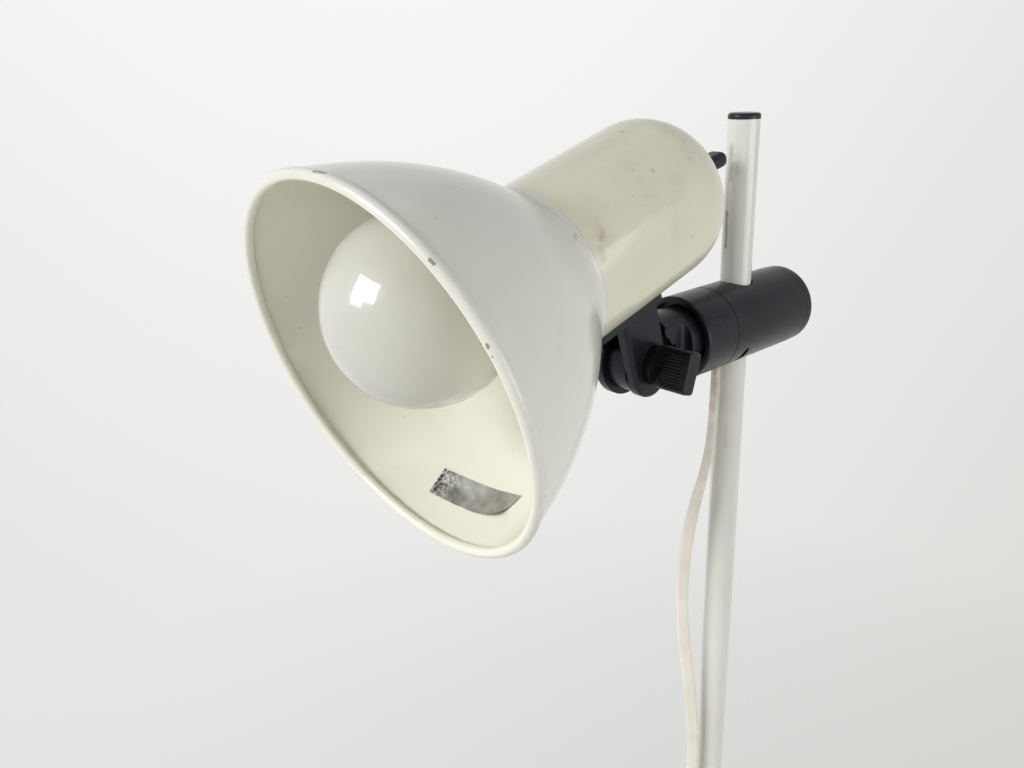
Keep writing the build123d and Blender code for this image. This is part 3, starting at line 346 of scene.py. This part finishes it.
vinyl = cord_vinyl()
tie_vinyl = speckled("tie_vinyl", (0.74, 0.73, 0.68), (0.66, 0.65, 0.60), (0.35, 0.45), 90)
frost = speckled(
    "frosted_glass", (0.975, 0.97, 0.92), (0.95, 0.945, 0.885), (0.42, 0.47), 30, 0.02, 0.0001,
    Transmission_Weight=0.62, IOR=1.25, Coat_Weight=1.0, Coat_Roughness=0.02)
bulb_metal = bare_metal("bulb_metal", (0.66, 0.66, 0.67), (0.52, 0.52, 0.53), (0.28, 0.40), 180)


def bare_foil():
    """Crinkled foil, flecked dark towards its left end."""
    s = Shader("bare_foil", metallic=1.0)
    worn = s.span(s.split(s.place.outputs["Object"], "X"), -0.004, -0.016)
    flecks = s.math("MULTIPLY", s.span(s.noise(900, 2.0), 0.42, 0.58), worn)
    sheen = s.ramp(s.noise(260), (0.3, (0.42, 0.42, 0.41)), (0.7, (0.66, 0.66, 0.64)))
    s.colour(s.mix(flecks, sheen, (0.07, 0.07, 0.07)))
    s.roughness(s.span(s.noise(120), 0.3, 0.7, 0.28, 0.5))
    s.bump(s.noise(140, 2.0), 0.3, 0.0003)
    return s.mat


foil = bare_foil()
clear = Shader("clear_glass", roughness=0.05, Transmission_Weight=0.9, IOR=1.5).mat

USES = {
    enamel_head: ("housing",),
    enamel_bell: ("shade",),
    enamel_pole: ("pole",),
    enamel_base: ("base_shell",),
    black: ("pole_cap", "clamp_body", "pole_guide", "collar", "end_cap", "knuckle", "bracket"),
    black_knob: ("wing_knob", "switch_knob"),
    steel: ("base_washer", "base_bolt", "pole_insert", "hinge_nut", "hinge_washer", "bracket_screws",
            "wing_stud", "switch_nut"),
    spring: ("bush_clip", "clamp_spring"),
    brass: ("socket_shell", "centre_contact", "switch_shaft", "bulb_contact", "plug_blades"),
    nylon: ("pole_bush", "friction_pad", "roll_washer"),
    phenolic: ("switch_body", "socket_body"),
    iron: ("base_weight",),
    rubber: ("base_pad",),
    vinyl: ("cord_stub", "plug_body"),
    tie_vinyl: ("coil_tie",),
    frost: ("bulb_glass",),
    bulb_metal: ("bulb_base",),
    clear: ("bulb_stem",),
}
for mat, names in USES.items():
    for name in names:
        obj = nodes[name]
        obj.data.materials.clear()
        obj.data.materials.append(mat)

# The route of the part's source, from the clamp to the plug
DROP = [
    (0, -0.0112, 0.35952), (0, -0.0112, 0.33452), (-0.0016, -0.0123, 0.311), (-0.0052, -0.0163, 0.289),
    (-0.0072, -0.0184, 0.264), (-0.0072, -0.0185, 0.238), (-0.0052, -0.0163, 0.212),
    (-0.0026, -0.0134, 0.184), (-0.0012, -0.012, 0.156), (-0.0022, -0.013, 0.128), (-0.0046, -0.0156, 0.102),
]
LEAD = [
    (-0.0064, -0.022, 0.076), (-0.0086, -0.0335, 0.0545), (-0.011, -0.051, 0.0405),
    (-0.0129, -0.071, 0.0335), (-0.0138, -0.093, 0.029), (-0.014, -0.113, 0.0195),
    (-0.0139, -0.1305, 0.0085), (-0.0137, -0.1462, 0.0036),
]
TAIL = [(0.0501, -0.1462, 0.0204), (0.0512, -0.1375, 0.017), (0.055, -0.1255, 0.0105),
        (0.06123, -0.11517, 0.00655), (0.068, -0.1065, 0.00655)]
COIL_CENTRE = (0.0182, -0.163)
COIL_OUTER, COIL_STEP, COIL_RISE, COIL_LIFT = 0.0319, 0.0062, 0.0056, 0.0036
COIL_LAYERS, COIL_TURNS = 4, 1.5
COIL_CLIMB = 0.5    # turns on which the coil climbs to its next layer
COIL_POINTS = 16    # per turn
CORD_WIDTH, CORD_THICKNESS = 0.0056, 0.0028
LOBE_STEPS, GROOVE_ANGLE, GROOVE_SHARE = 9, 0.28, 0.62    # of the flat cord's section
MERGE_DISTANCE = 1e-5
# Length below the clamp, and the turn there in degrees
CORD_TWIST = ((0.0, 42), (0.035, 42), (0.105, -48), (0.20, -30), (0.34, 0), (3.0, 0))


def coil_point(turn):
    """Place on the coil after this many turns: each layer spirals in or out, then climbs."""
    span = COIL_TURNS + COIL_CLIMB
    layer = min(int(turn // span), COIL_LAYERS - 1)
    done = turn - layer * span
    inner = COIL_OUTER - COIL_STEP * COIL_TURNS
    travelled = COIL_STEP * min(done, COIL_TURNS)
    radius = COIL_OUTER - travelled if layer % 2 == 0 else inner + travelled
    climb = max(0.0, done - COIL_TURNS) / COIL_CLIMB
    height = COIL_LIFT + COIL_RISE * (layer + climb * climb * (3 - 2 * climb))
    angle = pi + 2 * pi * turn
    return (COIL_CENTRE[0] + radius * cos(angle), COIL_CENTRE[1] + radius * sin(angle), height)


def spline_points(route, name):
    """Points along the NURBS curve whose control points are the route."""
    curve = bpy.data.curves.new(name, "CURVE")
    curve.dimensions = "3D"
    curve.resolution_u = 6
    spline = curve.splines.new("NURBS")
    spline.points.add(len(route) - 1)
    for point, place in zip(spline.points, route):
        point.co = (*place, 1)
    spline.order_u = 3
    spline.use_endpoint_u = True
    holder = add_object(name, curve)
    bpy.context.view_layer.update()
    mesh = bpy.data.meshes.new_from_object(holder)
    points = [v.co.copy() for v in mesh.vertices]
    bpy.data.objects.remove(holder)
    bpy.data.curves.remove(curve)
    bpy.data.meshes.remove(mesh)
    clean = [points[0]]
    for p in points[1:]:
        if (p - clean[-1]).length > MERGE_DISTANCE:
            clean.append(p)
    return clean


turns = COIL_LAYERS * COIL_TURNS + (COIL_LAYERS - 1) * COIL_CLIMB
COIL = [coil_point(i / COIL_POINTS) for i in range(int(turns * COIL_POINTS) + 1)]
ROUTE = DROP + LEAD + COIL + TAIL


def twist_at(run):
    """Turn of the flat cord about itself at this length below the clamp."""
    for (near, before), (far, after) in zip(CORD_TWIST, CORD_TWIST[1:]):
        if run <= far:
            share = (run - near) / (far - near)
            share = share * share * (3 - 2 * share)
            return radians(before + (after - before) * share)
    return 0.0


def cord_mesh(points, name):
    """Flat two-conductor cord along the points, turned about itself by twist_at."""
    count = len(points)
    tangents = []
    for i in range(count):
        a = points[max(0, i - 1)]
        b = points[min(count - 1, i + 1)]
        tangents.append((b - a).normalized())
    side = Vector((1, 0, 0))
    sides, run = [], 0.0
    for i, t in enumerate(tangents):
        side = (side - t * side.dot(t)).normalized()
        run += (points[i] - points[max(0, i - 1)]).length
        turn = twist_at(run)
        sides.append(side * cos(turn) + t.cross(side) * sin(turn))
    r = CORD_THICKNESS / 2
    offset = CORD_WIDTH / 2 - r
    ring = []
    for lobe in (1, -1):
        for k in range(LOBE_STEPS):
            a = -pi / 2 + GROOVE_ANGLE + (pi - 2 * GROOVE_ANGLE) * k / (LOBE_STEPS - 1)
            ring.append((lobe * (offset + r * cos(a)), lobe * r * sin(a)))
        ring.append((0.0, lobe * r * GROOVE_SHARE))
    verts, faces = [], []
    n = len(ring)
    for p, t, s in zip(points, tangents, sides):
        up = t.cross(s)
        for x, y in ring:
            verts.append(p + s * x + up * y)
    for i in range(count - 1):
        for j in range(n):
            k = (j + 1) % n
            faces.append((i * n + j, i * n + k, (i + 1) * n + k, (i + 1) * n + j))
    faces.append(tuple(reversed(range(n))))
    faces.append(tuple(range((count - 1) * n, count * n)))
    mesh = bpy.data.meshes.new(name)
    mesh.from_pydata(verts, [], faces)
    mesh.update()
    for poly in mesh.polygons:
        poly.use_smooth = len(poly.vertices) == 4
    obj = add_object(name, mesh)
    mesh.materials.append(vinyl)
    return obj


line = spline_points(ROUTE, "cord_line")
cord = cord_mesh(line, "mains_cord")
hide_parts("cord_drop", "cord_lead", "cord_coil", "cord_tail")
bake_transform(cord)

# Bare foil inside the bell: its corners, clockwise from the upper left as the camera sees it
FOIL_CORNERS = [Vector(c) for c in ((-0.0170, -0.1450, 0.3495), (0.0209, -0.1443, 0.3517),
                                    (0.0169, -0.1516, 0.3446), (-0.0165, -0.1528, 0.3437))]
FOIL_LIFT, FOIL_THICKNESS, FOIL_CURL = 0.00018, 0.0001, 0.0026
FOIL_COLUMNS, FOIL_ROWS, FOIL_PROBE = 40, 12, 0.002
# The lower right corner peels up from where this weighted sum of the shares passes its start
PEEL_ACROSS, PEEL_DOWN, PEEL_START, PEEL_RUN = 1.6, 0.9, 1.75, 0.75


def foil_plate():
    """Thin sheet laid on the bell's inner face, with one corner peeled up."""
    bell = nodes["shade"]
    skin = BVHTree.FromObject(bell, bpy.context.evaluated_depsgraph_get())
    bell_to_part = bell.matrix_world
    part_to_bell = bell_to_part.inverted()
    upper_left, upper_right, lower_right, lower_left = FOIL_CORNERS
    verts, faces = [], []
    for row in range(FOIL_ROWS + 1):
        v = row / FOIL_ROWS
        for column in range(FOIL_COLUMNS + 1):
            u = column / FOIL_COLUMNS
            place = upper_left.lerp(upper_right, u).lerp(lower_left.lerp(lower_right, u), v)
            inward = (MOUTH + BACK * (place - MOUTH).dot(BACK) - place).normalized()
            near = bell_to_part @ skin.find_nearest(part_to_bell @ (place + inward * FOIL_PROBE))[0]
            peel = max(0.0, (u * PEEL_ACROSS + v * PEEL_DOWN - PEEL_START) / PEEL_RUN)
            verts.append(near + inward * (FOIL_LIFT + FOIL_CURL * peel * peel))
    for row in range(FOIL_ROWS):
        for column in range(FOIL_COLUMNS):
            a = row * (FOIL_COLUMNS + 1) + column
            faces.append((a, a + 1, a + FOIL_COLUMNS + 2, a + FOIL_COLUMNS + 1))
    mesh = bpy.data.meshes.new("foil_plate")
    mesh.from_pydata(verts, [], faces)
    plate = add_object("foil_plate", mesh)
    thick = plate.modifiers.new("thickness", "SOLIDIFY")
    thick.thickness = FOIL_THICKNESS
    thick.offset = 0
    mesh.materials.append(foil)
    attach(plate, "head")


foil_plate()

# Where the camera stands, and its level right and its down before the roll
EYE = Vector((0.21185, -0.32084, 0.4823))
RIGHT = Vector((0.6739, 0.7388, 0.0))
DOWN = Vector((0.2472, -0.2255, -0.9424))
# The camera as solved from the photo: focal length over the frame's width in pixels, and its roll
FOCAL_PIXELS, FRAME_PIXELS, SENSOR_WIDTH = 915.4, 1024.0, 36.0
ROLL = radians(1.69)
# Studio tone straight ahead, and how it changes across, upwards and towards both sides
AHEAD, ACROSS, RISE = (0.850, 0.850, 0.840), (-0.070, -0.072, -0.081), (0.165, 0.168, 0.183)
SIDES = 0.26
# Share of that tone overhead, the scale of its drift there, and between which upward parts of the
# direction it sets in
OVERHEAD, OVERHEAD_SCALE, OVERHEAD_FROM, OVERHEAD_TO = 0.45, 2.6, 0.12, 0.80
FLOOR_HALF = 40.0
WORLD_STRENGTH = 0.88


def backdrop_tone(s, way):
    """Pale studio tone in a direction, seen by rays of the camera, of gloss and of clear glass."""
    across = s.vector("DOT_PRODUCT", way, RIGHT)
    rise = s.vector("DOT_PRODUCT", way, -DOWN)
    sides = s.math("MULTIPLY", s.math("MULTIPLY", across, across), -SIDES)
    tone = s.vector("ADD", s.scaled(Vector(ACROSS), across), s.scaled(Vector(RISE), rise))
    tone = s.vector("ADD", tone, s.scaled(Vector((1, 1, 1)), sides))
    tone = s.vector("ADD", tone, AHEAD)
    room = s.span(s.noise(OVERHEAD_SCALE, 1.0, where=way), 0.35, 0.65, OVERHEAD * 0.5, OVERHEAD * 1.5)
    lift = s.span(s.split(way, "Z"), OVERHEAD_FROM, OVERHEAD_TO)
    return s.scaled(tone, s.math("ADD", s.math("MULTIPLY", lift, room), s.math("SUBTRACT", 1.0, lift)))


def plain_floor():
    """Floor that shows the studio's own tone, mixed near the lamp with the light and shadow it takes."""
    mesh = bpy.data.meshes.new("floor")
    corners = [(x * FLOOR_HALF, y * FLOOR_HALF, 0) for x, y in ((-1, -1), (1, -1), (1, 1), (-1, 1))]
    mesh.from_pydata(corners, [], [(0, 1, 2, 3)])
    floor = add_object("floor", mesh)
    s = Shader("floor", roughness=0.9)
    s.bsdf.inputs["Base Color"].default_value = (0.80, 0.80, 0.79, 1)
    s.bsdf.inputs["Specular IOR Level"].default_value = 0.0
    here = s.place.outputs["Object"]
    glow = s.add("ShaderNodeEmission")
    way = s.vector("NORMALIZE", s.vector("SUBTRACT", here, EYE))
    s.feed(glow.inputs["Color"], backdrop_tone(s, way))
    clear_of_lamp = s.span(s.vector("LENGTH", here), 0.10, 0.55, 0.65, 1.0)
    both = s.add("ShaderNodeMixShader")
    s.feed(both.inputs[0], s.math("MULTIPLY", clear_of_lamp, s.backdrop_rays()))
    s.link(s.bsdf, "BSDF", both, 1)
    s.link(glow, "Emission", both, 2)
    s.link(both, "Shader", s.out, "Surface")
    floor.data.materials.append(s.mat)


plain_floor()


def light_world():
    """Soft light from all round, and the studio's own tone for the rays that see it."""
    world = bpy.data.worlds.new("world")
    bpy.context.scene.world = world
    s = Shader(None, world=world)
    way = s.place.outputs["Generated"]
    lamp = s.add("ShaderNodeBackground")
    fall = s.ramp(s.split(way, "Z"), (0.0, (0.80, 0.80, 0.77)), (1.0, (0.16, 0.165, 0.17)))
    s.feed(lamp.inputs["Color"], fall)
    lamp.inputs["Strength"].default_value = WORLD_STRENGTH
    seen = s.add("ShaderNodeBackground")
    s.feed(seen.inputs["Color"], backdrop_tone(s, way))
    both = s.add("ShaderNodeMixShader")
    s.feed(both.inputs[0], s.backdrop_rays())
    s.link(lamp, 0, both, 1)
    s.link(seen, 0, both, 2)
    s.link(both, 0, s.out, "Surface")


def area_light(name, place, aim, size, power):
    data = bpy.data.lights.new(name, "AREA")
    data.shape = "RECTANGLE"
    data.size, data.size_y = size
    data.energy = power
    lamp = add_object(name, data)
    lamp.location = place
    lamp.rotation_euler = (Vector(aim) - Vector(place)).to_track_quat("-Z", "Y").to_euler()


light_world()
FOCUS = (0, -0.1, 0.40)
area_light("window", (-0.40, -1.52, 1.08), FOCUS, (0.85, 0.55), 17.5)
area_light("window_low", (-0.62, -1.55, 0.80), FOCUS, (0.45, 0.32), 3.5)
area_light("soft_fill", (1.55, 0.38, 0.36), FOCUS, (1.4, 1.2), 13.5)


def make_camera():
    data = bpy.data.cameras.new("camera")
    data.sensor_width = SENSOR_WIDTH
    data.lens = FOCAL_PIXELS * SENSOR_WIDTH / FRAME_PIXELS
    data.clip_start = 0.01
    data.clip_end = 50.0
    camera = add_object("camera", data)
    across = (RIGHT * cos(ROLL) + DOWN * sin(ROLL)).normalized()
    below = (DOWN * cos(ROLL) - RIGHT * sin(ROLL)).normalized()
    ahead = across.cross(below).normalized()
    turn = Matrix((across, -below, -ahead)).transposed().to_4x4()
    camera.matrix_world = Matrix.Translation(EYE) @ turn
    bpy.context.scene.camera = camera


make_camera()
bpy.context.scene.view_settings.view_transform = "Standard"

bpy.context.view_layer.update()
